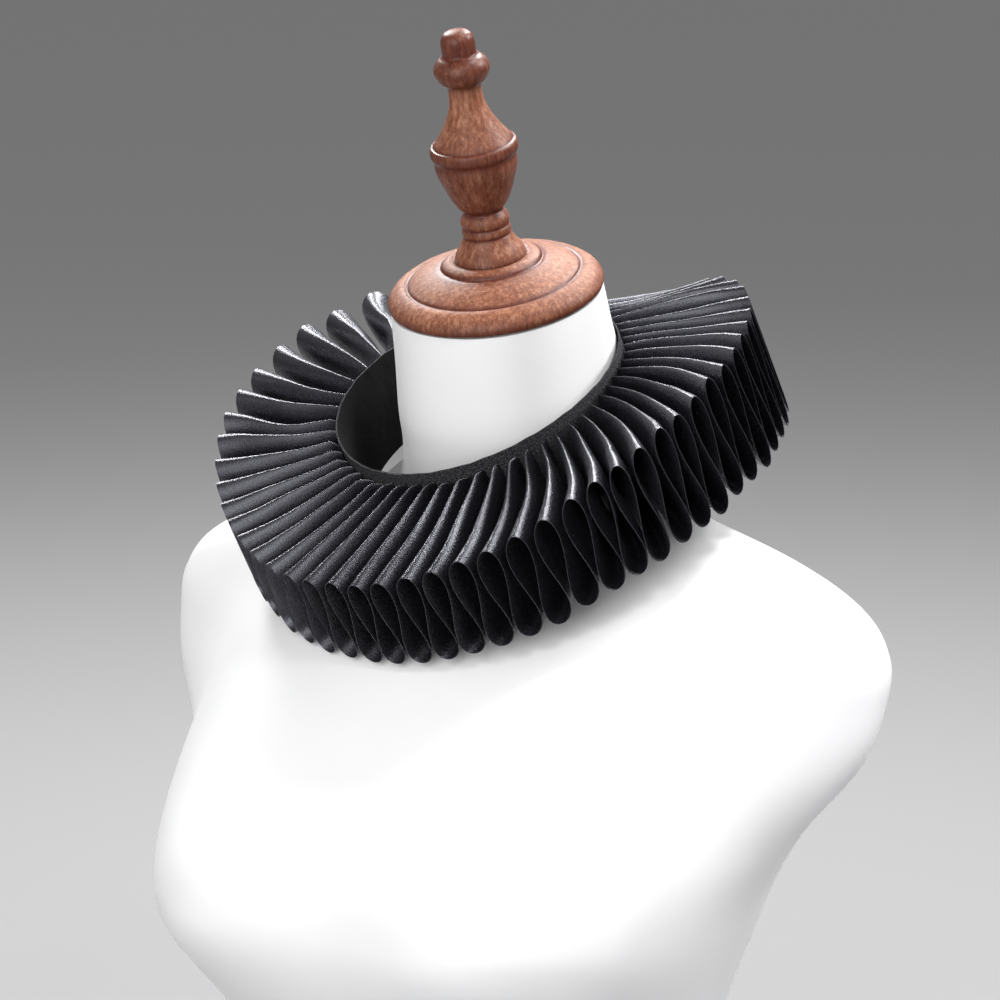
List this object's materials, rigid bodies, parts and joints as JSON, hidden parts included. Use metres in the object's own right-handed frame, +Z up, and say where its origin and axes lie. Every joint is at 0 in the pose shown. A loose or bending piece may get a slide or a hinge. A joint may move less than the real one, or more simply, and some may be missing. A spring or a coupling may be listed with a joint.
{
  "type": "ruff collar on a dress form",
  "caption": "Pleated black satin ruff collar on a neck band, worn round the neck of a limbless white dress form with a turned wooden cap and finial.",
  "frame": {"origin": "middle of the dress form's flat underside, on the surface that it stands on", "axes": "+Z up, -Y towards the form's front, +X towards the form's own left side"},
  "size_m": [0.4438, 0.3639, 0.706],
  "materials": {
    "satin_ribbon": "black satin, lustrous along the pleats",
    "band_ribbon": "black corded ribbon, dull with a fine sparkle",
    "blackened_wire": "blackened wire",
    "white_form": "smooth white, satin",
    "turned_wood": "red-brown, semi-gloss varnish"
  },
  "bodies": {
    "root": {"neck_band": "band_ribbon", "pleated_frill": "satin_ribbon", "back_hook": "blackened_wire", "back_eye": "blackened_wire", "dress_form_body": "white_form", "neck_cap": "turned_wood", "finial": "turned_wood"}
  },
  "joints": []
}
